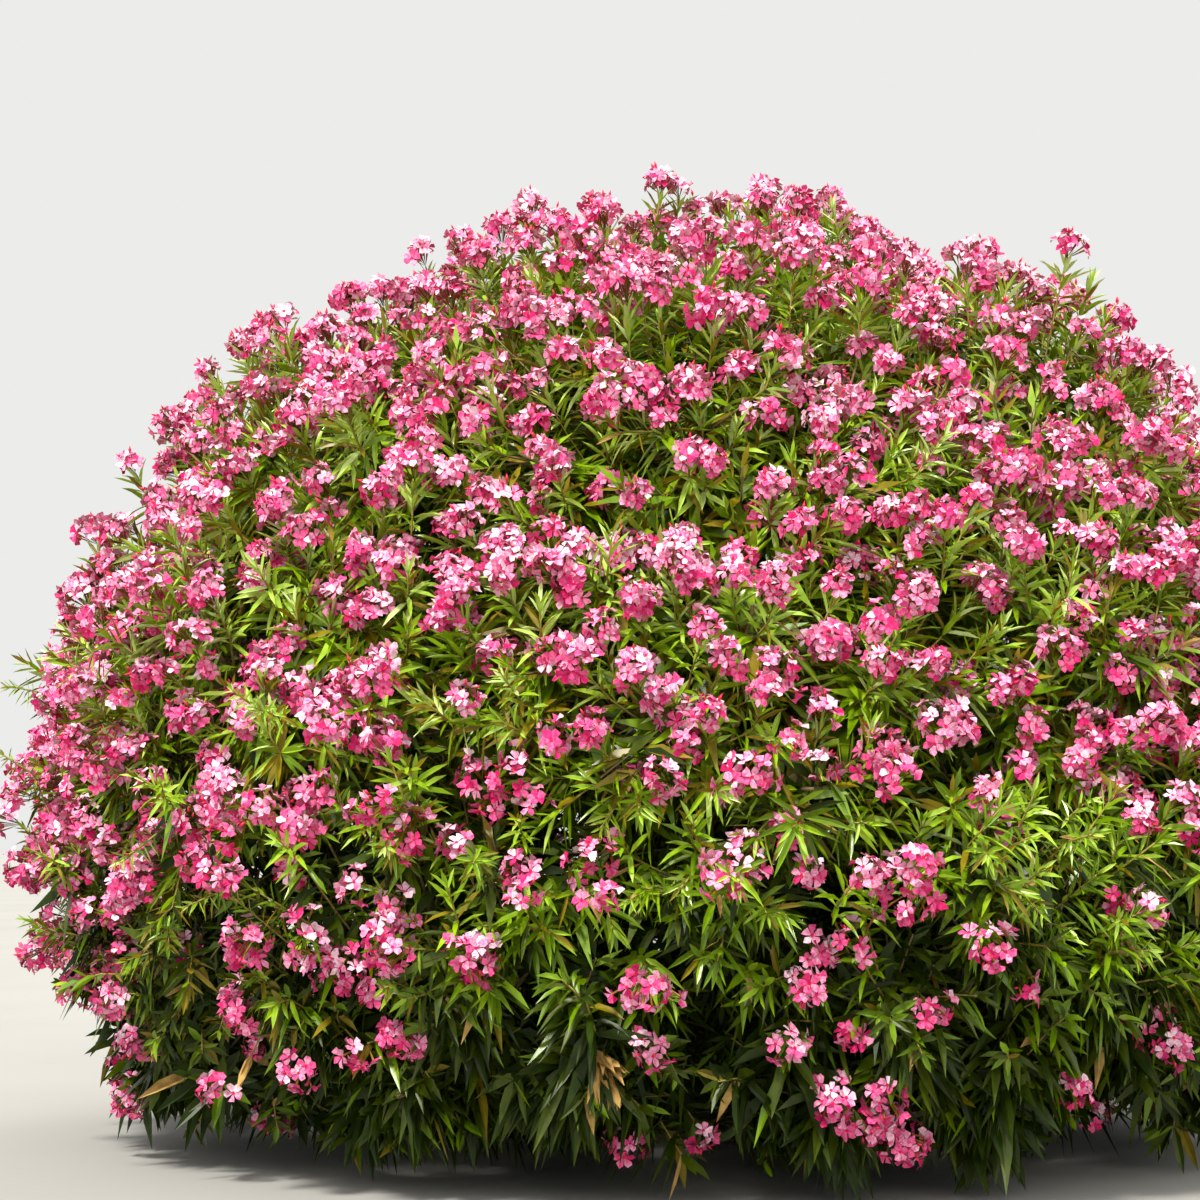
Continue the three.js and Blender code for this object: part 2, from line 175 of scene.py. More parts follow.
def crown_points(height, turn):
    """Points of the crown's surface at a height and a turn round the axis."""
    width = outline(height)
    across = HALF_WIDTH * width * np.cos(turn) + lean_at(height)
    return np.stack([across, HALF_DEPTH * width * np.sin(turn), height + 0 * turn], axis=-1)


def share_of(points):
    """The share of the way to the crown's surface that points lie at, found by halving."""
    x, y, z = points[..., 0], points[..., 1], points[..., 2]
    halvings, farthest = 30, 3.0
    low, high = np.maximum(z / TOP, 1e-6), np.full(z.shape, farthest)
    for _ in range(halvings):
        share = (low + high) / 2
        width = np.hypot((x / share - lean_at(z / share)) / HALF_WIDTH, y / share / HALF_DEPTH)
        outside = width > outline(z / share)
        low, high = np.where(outside, share, low), np.where(outside, high, share)
    return (low + high) / 2


def outward_at(points):
    """The direction straight out of the crown at points."""
    step = 0.01
    slopes = [share_of(points + step * axis) - share_of(points - step * axis) for axis in np.eye(3)]
    return unit(np.stack(slopes, axis=-1))


def even_points(count):
    """Points spread evenly over the crown's surface by the golden angle."""
    foot, samples = 3 * LOWEST, 401
    heights = foot + np.sin(np.linspace(0, math.pi / 2, samples)) * (TOP - foot)
    widths = outline(heights)
    slopes = np.hypot(np.diff(heights), HALF_WIDTH * np.diff(widths))
    areas = np.concatenate([[0], np.cumsum(slopes * (widths[1:] + widths[:-1]) / 2)])
    order = np.arange(count)
    height = np.interp((order + 0.5) / count * areas[-1], areas, heights)
    return crown_points(height, order * GOLDEN_ANGLE)


def ripple(points, size, phase):
    """Smooth swells and dips over the crown, from about -1 to 1: a sum of waves of one size."""
    waves, total = 5, 0
    for k in range(waves):
        way = np.array([math.cos(2.4 * k + phase), math.sin(1.7 * k + phase), math.cos(1.1 * k + 2 * phase)])
        total = total + np.sin(points @ unit(way) * 2 * math.pi / size + 1.9 * k + phase)
    return total / (waves / 2)


def belly(height):
    """1 in the band below the crown's middle, 0 above and below it."""
    return smooth(*BELLY_IN, height) - smooth(*BELLY_OUT, height)


def lay_out_masses():
    """The masses' names, turns, hearts and doors, the points where their stems start."""
    names, turns, hearts = [], [], []
    for name, count, height, first in RINGS:
        for i in range(count):
            turn = math.radians(first + 360 * i / count)
            names.append(f"{name}_foliage_{i + 1}")
            turns.append(turn)
            hearts.append(crown_points(np.array(height), np.array(turn)))
    hearts = np.array(hearts)
    return names, np.array(turns), hearts * HEART, hearts * HOLLOW


def masses_of(names, ring):
    """The numbers of the masses in a ring."""
    return [i for i, name in enumerate(names) if name.startswith(ring)]


def nearest_two(hearts, points):
    """Each point's nearest heart, and how near it is beside the second nearest: 1 is on the border."""
    away = np.linalg.norm(points[:, None] * HEART - hearts[None], axis=-1)
    ranked = np.sort(away, axis=1)
    return np.argmin(away, axis=1), ranked[:, 0] / ranked[:, 1]


def bezier(a, b, c, d, steps):
    """Sampled curves from a to d, drawn towards b and c on the way."""
    t = np.linspace(0, 1, steps + 1)[:, None]
    a, b, c, d = (np.asarray(p, float)[..., None, :] for p in (a, b, c, d))
    return a * (1 - t) ** 3 + b * 3 * t * (1 - t) ** 2 + c * 3 * t**2 * (1 - t) + d * t**3


def path_point(path, share):
    """The place and direction at a share of one sampled path."""
    place = share * (len(path) - 1)
    i = min(int(place), len(path) - 2)
    return path[i] + (path[i + 1] - path[i]) * (place - i), unit(path[i + 1] - path[i])


def along_path(paths, back):
    """Places and directions at distances back from the ends of paths."""
    steps = np.linalg.norm(np.diff(paths, axis=1), axis=-1)
    from_end = np.concatenate([np.cumsum(steps[:, ::-1], axis=1)[:, ::-1], np.zeros((len(paths), 1))], axis=1)
    back = np.minimum(back, from_end[:, 0] * 0.98)
    part = np.clip((from_end[:, 1:] > back[:, None]).sum(axis=1), 0, paths.shape[1] - 2)
    rows = np.arange(len(paths))
    share = (from_end[rows, part] - back) / steps[rows, part]
    low, high = paths[rows, part], paths[rows, part + 1]
    return low + (high - low) * share[:, None], unit(high - low)


def cross_axes(ahead):
    """Two directions square to a third and to each other."""
    guide = np.where(np.abs(ahead[..., 2:3]) > 0.9, np.array([1.0, 0, 0]), UP)
    first = unit(np.cross(guide, ahead))
    return first, np.cross(ahead, first)


def turned(angle, first, second):
    """The direction at an angle from the first of two axes towards the second."""
    return np.cos(angle)[:, None] * first + np.sin(angle)[:, None] * second


class Piece:
    """Gathers points and faces for one mesh, each face with the number of its material."""

    def __init__(self):
        self.points, self.faces, self.looks, self.count = [], [], [], 0

    def add(self, points, faces, looks):
        """Adds points, and faces that count from the first of them."""
        self.start = self.count
        self.points.append(points.reshape(-1, 3))
        self.count += len(self.points[-1])
        self.add_faces(faces, looks)

    def add_faces(self, faces, looks):
        """Adds faces on the points added last."""
        self.faces.append(faces + self.start)
        self.looks.append(np.broadcast_to(looks, len(faces)))

    def build(self, name, materials, nodes):
        """Makes the mesh, smooth all over, which stands for the nodes."""
        points = np.concatenate(self.points)
        sizes = np.concatenate([np.full(len(f), f.shape[1]) for f in self.faces])
        corners = np.concatenate([f.ravel() for f in self.faces])
        mesh = bpy.data.meshes.new(name)
        mesh.vertices.add(len(points))
        mesh.vertices.foreach_set("co", points.astype(np.float32).ravel())
        mesh.loops.add(len(corners))
        mesh.loops.foreach_set("vertex_index", corners.astype(np.int32))
        mesh.polygons.add(len(sizes))
        starts = np.concatenate([[0], np.cumsum(sizes)[:-1]])
        mesh.polygons.foreach_set("loop_start", starts.astype(np.int32))
        mesh.polygons.foreach_set("material_index", np.concatenate(self.looks).astype(np.int32))
        mesh.polygons.foreach_set("use_smooth", np.ones(len(sizes), bool))
        for material in materials:
            mesh.materials.append(material)
        mesh.update(calc_edges=True)
        mesh.validate()
        piece = bpy.data.objects.new(name, mesh)
        bpy.context.scene.collection.objects.link(piece)
        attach(piece, "root")
        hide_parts(*nodes)


def taper(size, paths):
    """The radii along paths that thin evenly from base to tip."""
    return np.tile(np.linspace(size["base"], size["tip"], paths.shape[1]), (len(paths), 1))


def copies(faces, count, size):
    """The faces of so many equal shapes, each of so many points."""
    return (faces + (np.arange(count) * size)[:, None, None]).reshape(-1, faces.shape[-1])


def tube_points(paths, radii, sides):
    """Rings of points round many paths, with cross axes carried along each."""
    ahead = unit(np.gradient(paths, axis=1))
    angles = 2 * math.pi * np.arange(sides) / sides
    rings = np.empty((*paths.shape[:2], sides, 3))
    first, _ = cross_axes(ahead[:, 0])
    for i in range(paths.shape[1]):
        second = unit(np.cross(ahead[:, i], first))
        first = np.cross(second, ahead[:, i])
        spokes = turned(angles, first[:, None], second[:, None])
        rings[:, i] = paths[:, i, None] + radii[:, i, None, None] * spokes
    return rings


def tube_faces(count, rings, sides):
    """The walls of many tubes, and the cap at the far end of each."""
    ring, side = np.meshgrid(np.arange(rings - 1), np.arange(sides), indexing="ij")
    a = ring * sides + side
    b = ring * sides + (side + 1) % sides
    walls = np.stack([a, b, b + sides, a + sides], axis=-1).reshape(-1, 4)
    cap = (rings - 1) * sides + np.arange(sides)[None]
    return copies(walls, count, rings * sides), copies(cap, count, rings * sides)


def add_tubes(piece, paths, size, looks):
    """Adds tubes that taper along their paths. looks has a material number for each step along them."""
    sides = size["sides"]
    walls, caps = tube_faces(len(paths), paths.shape[1], sides)
    wall_looks = np.tile(np.repeat(looks, sides), len(paths))
    piece.add(tube_points(paths, taper(size, paths), sides), walls, wall_looks)
    piece.add_faces(caps, looks[-1])


# A leaf's outline: how far along its edge turns and how wide it is there, and the faces of half a blade whose
# midrib is straight or bends at the middle. Then how deep its fold is, from how many widths of sag its midrib
# bends, and where an old leaf is widest.
BLADE = [(0.28, 0.92), (0.68, 0.86)]
STRAIGHT, BENT = np.array([[0, 1, 2], [0, 2, 3]]), np.array([[0, 1, 4], [4, 1, 2], [4, 2, 3]])
FOLD, BEND, OLD_WIDEST = 0.3, 0.5, 0.42


def leaf_place(roots, along, face, length, curl, sag):
    """Where a leaf's midrib runs: a function of the share of its length."""
    length, curl, sag = length[:, None], curl[:, None], sag[:, None]
    return lambda s: roots + length * (along * s - (face * curl + UP * sag) * s * s)


def add_leaves(piece, faces, roots, along, face, length, width, curl, sag, looks):
    """Adds lance-shaped leaves, folded along the midrib and curving back to their tips."""
    across = unit(np.cross(along, face))
    place = leaf_place(roots, along, face, length, curl, sag)
    for side, order in ((1, [0, 1, 2]), (-1, [0, 2, 1])):
        rows = [roots]
        for s, wide in BLADE:
            half = (width * wide / 2)[:, None]
            rows.append(place(s) + across * half * side + face * half * FOLD)
        rows += [place(1.0), place(0.5)]
        points = np.stack(rows[:np.max(faces) + 1], axis=1)
        keep_above(points, GROUND_CLEAR)
        piece.add(points, copies(faces[:, order], *points.shape[:2]), np.repeat(looks, len(faces)))


def add_old_leaves(piece, roots, along, face, length, width, sag, looks):
    """Adds flat leaves for the shaded inside."""
    across = unit(np.cross(along, face)) * width[:, None] / 2
    place = leaf_place(roots, along, face, length, sag * 0, sag)
    points = np.stack([roots, place(OLD_WIDEST) + across, place(1.0), place(OLD_WIDEST) - across], axis=1)
    keep_above(points, GROUND_CLEAR)
    piece.add(points, np.arange(len(roots) * 4).reshape(-1, 4), looks)


# A petal's outline, for a flower of radius 1: how far out, how far aside and how high its points are.
PETAL = [(0.58, -0.33, 0.0), (0.97, -0.2, -0.06), (0.93, 0.32, 0.14), (0.6, 0.4, 0.18)]
PETAL_COUNT = 5
# The throat's depth, the eye's radius and depth, and how far a petal's points stray along the flower's axes.
THROAT_DEPTH, EYE_RADIUS, EYE_DEPTH = 0.26, 0.19, 0.12
CRUMPLE = (0.05, 0.05, 0.11)


def turned_on(points, petals):
    """Points turned about a flower's axis, by so many petals."""
    angle = 2 * math.pi * petals / PETAL_COUNT
    cos, sin = math.cos(angle), math.sin(angle)
    return [(x * cos - y * sin, x * sin + y * cos, z) for x, y, z in points]


def flower_shape():
    """One open flower of radius 1: five petals that each lean over the next, round a sunk throat."""
    points, petals = [(0, 0, -THROAT_DEPTH)], []
    for k in range(PETAL_COUNT):
        petals.append([0, *range(len(points), len(points) + len(PETAL))])
        points += turned_on(PETAL, k)
    eye = np.arange(len(points), len(points) + PETAL_COUNT)[None]
    for k in range(PETAL_COUNT):
        points += turned_on([(EYE_RADIUS, 0, -EYE_DEPTH)], k + 0.5)
    return np.array(points, float), np.array(petals), eye


def add_flowers(piece, centres, facing, twist, radius, looks):
    """Adds flowers in their tints. Petals stray from these, and some show their inner part's tint."""
    shape, petals, eye = flower_shape()
    turn_x = turned(twist, *cross_axes(facing))
    turn_y = np.cross(facing, turn_x)
    crumple = random.normal(0, 1, (len(centres), *shape.shape)) * CRUMPLE
    crumple[:, [0, *eye[0]]] = 0
    local = (shape[None] + crumple) * radius[:, None, None]
    points = centres[:, None] + local[..., :1] * turn_x[:, None] + local[..., 1:2] * turn_y[:, None]
    points = points + local[..., 2:] * facing[:, None]
    tints = looks[:, None] + random.choice([-1, 0, 0, 0, 1], (len(centres), PETAL_COUNT))
    # Painted shade: petals of flowers facing down never get the pale tint.
    tints = np.clip(tints, np.where(facing[:, 2:] > 0, 0, 1), PETAL_INNER - 1)
    tints = tints + PETAL_INNER * (random.random(tints.shape) < 0.3)
    piece.add(points, copies(petals, *points.shape[:2]), tints.ravel())
    piece.add_faces(copies(eye, *points.shape[:2]), PETAL_THROAT)


def add_slim_shapes(piece, roots, rims, facing, width, sides, look, tips=None):
    """Adds slim shapes that widen from their roots to rims and, where tips are given, narrow again."""
    first, second = cross_axes(facing)
    turns = np.arange(sides) * 2 * math.pi / sides
    points = [roots, *(rims + (first * math.cos(a) + second * math.sin(a)) * width[:, None] for a in turns)]
    edges = [(1 + (k + 1) % sides, 1 + k) for k in range(sides)]
    faces = [[0, a, b] for a, b in edges]
    if tips is not None:
        points.append(tips)
        faces += [[sides + 1, b, a] for a, b in edges]
    points = np.stack(points, axis=1)
    piece.add(points, copies(np.array(faces), *points.shape[:2]), look)


def linear(red, green, blue):
    """A colour given in screen values from 0 to 255, as a linear one."""
    share = np.array([red, green, blue]) / 255
    return (*np.where(share <= 0.04045, share / 12.92, ((share + 0.055) / 1.055) ** 2.4), 1)


def add_node(material, kind, **values):
    """Adds a node to a material, with values for its inputs. A name's _ stands for a space."""
    node = material.node_tree.nodes.new(kind)
    for name, value in values.items():
        node.inputs[name.replace("_", " ")].default_value = value
    return node


def plant_material(name, low, high, roughness, specular, grain, relief):
    """A surface between two close colours, with uneven gloss and a little relief."""
    material = bpy.data.materials.new(name)
    material.use_nodes = True
    links, shader = material.node_tree.links, material.node_tree.nodes["Principled BSDF"]
    place = add_node(material, "ShaderNodeTexCoord").outputs["Object"]
    noise = add_node(material, "ShaderNodeTexNoise", Scale=grain, Detail=3)
    links.new(place, noise.inputs["Vector"])
    ramp = add_node(material, "ShaderNodeValToRGB")
    first, last = ramp.color_ramp.elements
    first.position, last.position = 0.32, 0.68
    first.color, last.color = linear(*low), linear(*high)
    links.new(noise.outputs["Fac"], ramp.inputs["Fac"])
    links.new(ramp.outputs["Color"], shader.inputs["Base Color"])
    gloss = add_node(material, "ShaderNodeMapRange", To_Min=roughness - 0.07, To_Max=roughness + 0.07)
    links.new(noise.outputs["Fac"], gloss.inputs["Value"])
    links.new(gloss.outputs["Result"], shader.inputs["Roughness"])
    shader.inputs["Specular IOR Level"].default_value = specular
    if relief:
        fine = add_node(material, "ShaderNodeTexNoise", Scale=grain * 4)
        links.new(place, fine.inputs["Vector"])
        bump = add_node(material, "ShaderNodeBump", Strength=relief, Distance=0.002)
        links.new(fine.outputs["Fac"], bump.inputs["Height"])
        links.new(bump.outputs["Normal"], shader.inputs["Normal"])
    return material


def bark_material():
    """Grey-brown bark with long streaks and pores."""
    material = plant_material("bark_grey", (92, 80, 64), (142, 126, 104), 0.85, 0.25, grain=26, relief=0.5)
    nodes, links = material.node_tree.nodes, material.node_tree.links
    stretch = add_node(material, "ShaderNodeMapping", Scale=(1, 1, 0.22))
    links.new(nodes["Texture Coordinate"].outputs["Object"], stretch.inputs["Vector"])
    for node in nodes:
        if node.type == "TEX_NOISE":
            links.new(stretch.outputs["Vector"], node.inputs["Vector"])
    return material


def leaf_material(name, low, high, roughness, specular):
    """A leaf's even, slightly glossy skin."""
    return plant_material("leaf_" + name, low, high, roughness, specular, grain=30, relief=0.1)


def petal_material(name, low, high, specular):
    """A petal's soft surface with fine crinkles."""
    return plant_material("petal_" + name, low, high, 0.42, specular, grain=150, relief=0.6)


# Wood: old bark, and the brown and the green part of twigs.
BARK = bark_material()
WOODS = [
    BARK,
    plant_material("twig_brown", (104, 88, 58), (136, 118, 78), 0.75, 0.3, grain=60, relief=0.2),
    plant_material("twig_green", (128, 112, 36), (156, 140, 62), 0.55, 0.5, grain=60, relief=0.1),
]
BARKED, BROWN, GREEN = range(3)

# Leaves by tint: young sunlit tips, sunlit, mid, deep, shaded inside, dark at the foot, olive, and a few dry
# ones.
# From young to dark the tints are painted light and shade, besides the young leaves' own paler green.
LEAVES = [
    leaf_material("young_sunlit", (168, 194, 92), (202, 220, 146), 0.31, 0.5),
    leaf_material("sunlit", (146, 182, 30), (186, 214, 98), 0.3, 0.55),
    leaf_material("mid", (120, 158, 2), (156, 188, 30), 0.3, 0.55),
    leaf_material("deep", (86, 118, 0), (114, 144, 8), 0.31, 0.4),
    leaf_material("inner", (50, 66, 0), (74, 88, 6), 0.4, 0.3),
    leaf_material("dark", (26, 42, 0), (44, 60, 3), 0.4, 0.22),
    leaf_material("olive", (106, 96, 6), (138, 120, 22), 0.36, 0.3),
    plant_material("leaf_dry", (158, 122, 60), (198, 164, 96), 0.75, 0.3, grain=40, relief=0.2),
]
YOUNG_SUNLIT, SUNLIT, MID, DEEP, INNER, DARK, OLIVE, DRY = range(8)

# Petals: tints of their outer parts, the same tints' inner parts, the throat, the bud and the stalk.
# Painted light and shade: flowers facing up get the pale tint, those facing down the deeper ones.
PETALS = [
    petal_material("pale", (236, 151, 190), (249, 228, 234), 0.35),
    petal_material("mid", (226, 84, 146), (240, 181, 205), 0.22),
    petal_material("deep", (220, 50, 119), (232, 116, 160), 0.12),
    petal_material("pale_inner", (225, 80, 143), (239, 171, 198), 0.22),
    petal_material("mid_inner", (214, 40, 112), (230, 104, 155), 0.12),
    petal_material("deep_inner", (203, 16, 88), (222, 56, 124), 0.1),
    plant_material("petal_throat", (196, 6, 70), (218, 32, 98), 0.5, 0.1, grain=90, relief=0.1),
    plant_material("bud_red", (206, 22, 62), (230, 52, 94), 0.45, 0.4, grain=80, relief=0.1),
    plant_material("stalk_red_green", (150, 84, 30), (152, 128, 40), 0.5, 0.35, grain=60, relief=0.1),
]
PETAL_INNER, PETAL_THROAT, BUD, STALK = 3, 6, 7, 8


def limb_path(foot, leaving, door):
    """A limb's centre line, which reaches its mass's door square to it."""
    before = door - unit(door) * ARRIVING * np.linalg.norm(door - foot)
    return bezier(foot, leaving, before, door, LIMB_STEPS)


def lay_out_stems(names, turns, doors):
    """Every stem and leader: its size and sampled centre line."""
    stems = {}
    for ring, size, label in (("middle", STEM, "stem"), ("top", LEADER, "leader")):
        for number, i in enumerate(masses_of(names, ring)):
            out = np.array([math.cos(turns[i]), math.sin(turns[i]) * ROOT["depth"] / ROOT["width"], 0])
            out = out * size["foot"]
            path = limb_path(out - UP * ROOT["below"], out * FLARE_OUT + UP * size["rise"], doors[i])
            stems[f"{label}_{number + 1}"] = (size, path)
    return stems


def lay_out_boughs(names, turns, doors, stems):
    """Every bough: its size and sampled centre line, from the nearest stem."""
    boughs = {}
    stem_turns = turns[masses_of(names, "middle")]
    for ring, share, label in (("skirt", LOW_FORK, "low_bough"), ("upper", HIGH_FORK, "high_bough")):
        for number, i in enumerate(masses_of(names, ring)):
            stem = np.argmax(np.cos(stem_turns - turns[i] + math.radians(FORK_SIDE)))
            foot, ahead = path_point(stems[f"stem_{stem + 1}"][1], share)
            leaving = foot + ahead * LEAVING * np.linalg.norm(doors[i] - foot)
            boughs[f"{label}_{number + 1}"] = (BOUGH, limb_path(foot, leaving, doors[i]))
    return boughs


def bark_relief(rings):
    """Gives the rings of one tube the ridges, old leaf joints and knots of bark."""
    steps, sides = rings.shape[:2]
    centre = rings.mean(axis=1, keepdims=True)
    angle, along = 2 * math.pi * np.arange(sides)[None] / sides, np.arange(steps)[:, None]
    ridge = np.sin(5 * angle + 0.35 * along) + 0.6 * np.sin(9 * angle - 0.21 * along + 1.3)
    joint = np.maximum(0, np.sin(along * 2 * math.pi / 6.5)) ** 8
    knot = np.sin(2 * angle + 0.9 * along) * np.sin(0.37 * along + 2)
    out = 1 + BARK_DEPTH * (0.35 * ridge + 0.9 * joint + 0.5 * knot)
    return centre + (rings - centre) * out[..., None]


def limb_rings(size, path):
    """A limb's rings of barked points, and the ring where a stub ends."""
    rings = bark_relief(tube_points(path[None], taper(size, path[None]), LIMB_SIDES)[0])
    return rings, np.argmax(path[:, 2] > ROOT["stub"]) - 1


def add_rings(piece, rings, closed=True):
    """Adds one tube of bark, open at its far end where the next one goes on."""
    walls, caps = tube_faces(1, *rings.shape[:2])
    piece.add(rings, walls, BARKED)
    if closed:
        piece.add_faces(caps, BARKED)


def dress_limbs(stems, boughs):
    """A barked mesh for each limb. Stems go on from their stubs."""
    for name, (size, path) in (stems | boughs).items():
        rings, stub_end = limb_rings(size, path)
        piece = Piece()
        add_rings(piece, rings[stub_end:] if name in stems else rings)
        piece.build(f"{name}_bark", [BARK], [name])


def dress_root(stems):
    """The lobed, furrowed woody foot, with a stub under each stem."""
    sides = 84
    levels, angle = np.linspace(0, 1, 15)[:, None], 2 * math.pi * np.arange(sides)[None] / sides
    lobe = 1 + ROOT["lobe"] * np.cos(ROOT["lobes"] * angle) + 0.03 * np.sin(3 * angle + 9 * levels)
    size = np.interp(levels, *zip(*ROOT_PROFILE)) * lobe * (1 + 0.02 * np.sin(31 * angle + 14 * levels))
    x, y = ROOT["width"] * size * np.cos(angle), ROOT["depth"] * size * np.sin(angle)
    piece = Piece()
    add_rings(piece, np.stack([x, y, np.repeat(levels * ROOT["height"], sides, axis=1)], axis=-1))
    for size, path in stems.values():
        rings, stub_end = limb_rings(size, path)
        stub = rings[np.argmax(path[:, 2] > 0):stub_end + 1]
        keep_above(stub, 0)
        add_rings(piece, stub, closed=False)
    piece.build("root_crown_bark", [BARK], ["root_crown"])


def first_shoots(hearts, doors):
    """The first division: each mass's shoots from its stem to its tips, as in its solid."""
    points = even_points(SHOOTS)
    owner, edge = nearest_two(hearts, points)
    rows = []
    for mass in range(len(hearts)):
        roll = dice(SEED + mass)
        for k in np.flatnonzero(owner == mass):
            share = MASS_STEM["from"] + (MASS_STEM["to"] - MASS_STEM["from"]) * next(roll)
            start = doors[mass] + (hearts[mass] - doors[mass]) * share
            rows.append((start, points[k] * (TIP_SHARE - GROOVE * edge[k] ** GROOVE_POWER), mass))
            flowers = next(roll) < FLOWERING
            for _ in range(1 + (ROLLS_OF_FLOWERING if flowers else ROLLS_OF_LEAFY)):
                next(roll)
    return {key: np.array(column) for key, column in zip(("start", "tip", "mass"), zip(*rows))}


def fork_from(first, mass, ends, near, far):
    """Where new shoots leave the first ones of their mass, and which way these run."""
    away = np.linalg.norm(ends[:, None] - first["tip"][None], axis=-1)
    away[mass[:, None] != first["mass"][None]] = np.inf
    parent = np.argmin(away, axis=1)
    start = first["start"][parent]
    run = first["tip"][parent] - start
    return start + run * random.uniform(near, far, (len(ends), 1)), unit(run)


def spray_places():
    """Where the finer shoots reach the surface. Those of the photograph come last."""
    points = even_points(SPRAYS)
    foot = 1 - smooth(0.12, 0.45, points[:, 2])
    wanted = 0.7 + 0.3 * smooth(0.3, 1.1, points[:, 2]) - foot * (0.2 - 0.35 * ripple(points, 0.45, 4.2))
    points = points[random.random(SPRAYS) < wanted]
    points = points + random.normal(0, STRAY, points.shape)
    keep_above(points, 2 * LOWEST)
    seen = np.array(LOW_HEADS + [place[:2] for place in WITHERED])
    return np.concatenate([points, crown_points(seen[:, 1], np.radians(seen[:, 0]))])


def blossom_chance(points):
    """The chance that a shoot flowers: small at the foot, and in drifts."""
    across, height = points[:, 0], points[:, 2]
    sunny = height + 0.12 * np.abs(across) - 0.1 * across - 0.1
    chance = 0.78 * smooth(0.42, 0.98, sunny) - 0.05 * belly(height) * across
    chance = chance + 0.2 * smooth(1.0, 1.5, height) - 0.08 * smooth(2.0, 2.3, height)
    chance = chance + 0.15 * ripple(points, 0.8, 11.25) + 0.2 * ripple(points, 0.36, 2.9)
    return np.clip(chance, 0.02, 0.97)


def spray_kinds(points):
    """Which shoots flower, arch over or are withered, their joints, and the low heads."""
    across, height = points[:, 0], points[:, 2]
    from_last = np.arange(len(points)) - len(points) + len(WITHERED)
    withered, low_head = from_last >= 0, (from_last < 0) & (from_last >= -len(LOW_HEADS))
    flowers = (random.random(len(points)) < blossom_chance(points)) & ~withered | low_head
    bent = 0.36 - 0.26 * smooth(0.9, 1.4, height) - 0.1 * smooth(-1, 0, across)
    arching = ~flowers & ~withered & (random.random(len(points)) < bent)
    joints = np.where(flowers, JOINTS["flowering"], np.where(arching, JOINTS["arching"], JOINTS["leafy"]))
    joints[low_head] = JOINTS["low head"]
    joints[withered] = [whorls for _, _, whorls in WITHERED]
    return {"flowers": flowers, "arching": arching, "withered": withered, "joints": joints}, low_head


def spray_depth(points, edge, kinds, low_head):
    """How far outside the tips' share of the way to the surface the shoots end."""
    height = points[:, 2]
    high, foot = smooth(*HIGH, height), 1 - smooth(*FOOT, height)
    depth = -0.035 * edge**GROOVE_POWER - 0.07 * random.random(len(points)) ** 2
    depth = depth + 0.03 * ripple(points, 0.75, 0.4) - 0.11 * foot
    depth = depth - np.where(kinds["flowers"], 0.04 - 0.02 * high, 0.012 * high) + 0.03 * kinds["arching"]
    depth = depth + 0.02 * belly(height) + 0.006 * smooth(1.9, 2.3, height)
    depth[low_head] = -0.06 + 0.05 * smooth(0.4, 0.65, height[low_head])
    depth[kinds["withered"]] = -0.03
    return np.clip(depth, -0.17, 0.035 - 0.02 * high)


def shoot_paths(forks, run, ends, heading, leave, steps):
    """Curves from forks to ends, and how far that is."""
    reach = np.linalg.norm(ends - forks, axis=1, keepdims=True)
    return bezier(forks, forks + run * reach * leave, ends - heading * reach * 0.4, ends, steps), reach[:, 0]


def sprays(first, hearts):
    """The finer division: shoots from the first ones, which turn up higher in the crown."""
    points = spray_places()
    kinds, low_head = spray_kinds(points)
    mass, edge = nearest_two(hearts, points)
    ends = points * (TIP_SHARE + spray_depth(points, edge, kinds, low_head))[:, None]
    ends[:, 2] = np.minimum(ends[:, 2], TOP - 0.015)
    forks, run = fork_from(first, mass, ends, 0.25, 0.7)
    up = -0.1 + 0.9 * smooth(0.3, 1.3, ends[:, 2]) - 0.5 * kinds["arching"] - 3 * kinds["withered"]
    stray = 0.2 + 0.14 * (1 - smooth(*HIGH, points[:, 2:3]))
    heading = unit(outward_at(ends) * 0.75 + UP * up[:, None] + random.normal(0, 1, ends.shape) * stray)
    paths, reach = shoot_paths(forks, run, ends, heading, 0.38, SPRAY_STEPS)
    keep_above(paths, 3 * GROUND_CLEAR)
    return {"path": paths, "end": ends, "heading": heading, "mass": mass, "reach": reach, **kinds}


def fork_from_limbs(limbs, ends):
    """The nearest places on limbs from which shoots can rise, and which way the limbs run."""
    clear = 6
    wood = np.concatenate([path[clear:-1] for _, path in limbs.values()])
    ahead = np.concatenate([unit(np.diff(path, axis=0))[clear:] for _, path in limbs.values()])
    above = np.maximum(wood[None, :, 2] - ends[:, None, 2], 0)
    nearest = np.argmin(np.linalg.norm(ends[:, None] - wood[None], axis=-1) + above, axis=1)
    return wood[nearest], ahead[nearest]


def inner_places():
    """Ends for the shoots behind the outer ones, some of them near the axis."""
    points = even_points(INNER_SHOOTS) + random.normal(0, STRAY, (INNER_SHOOTS, 3))
    height = points[:, 2]
    fewer = 0.35 * smooth(0.8, 1.2, height) + 0.2 * smooth(1.5, 1.9, height)
    points = points[random.random(INNER_SHOOTS) < 1 - (fewer - 0.45 * smooth(2.0, 2.25, height))]
    keep_above(points, 3 * LOWEST)
    deep = random.random((len(points), 1)) < DEEP_PART
    deep_share, share = (random.uniform(*shares, (len(points), 1)) for shares in (DEEP_SHARES, INNER_SHARES))
    return points * np.where(deep, deep_share, share)


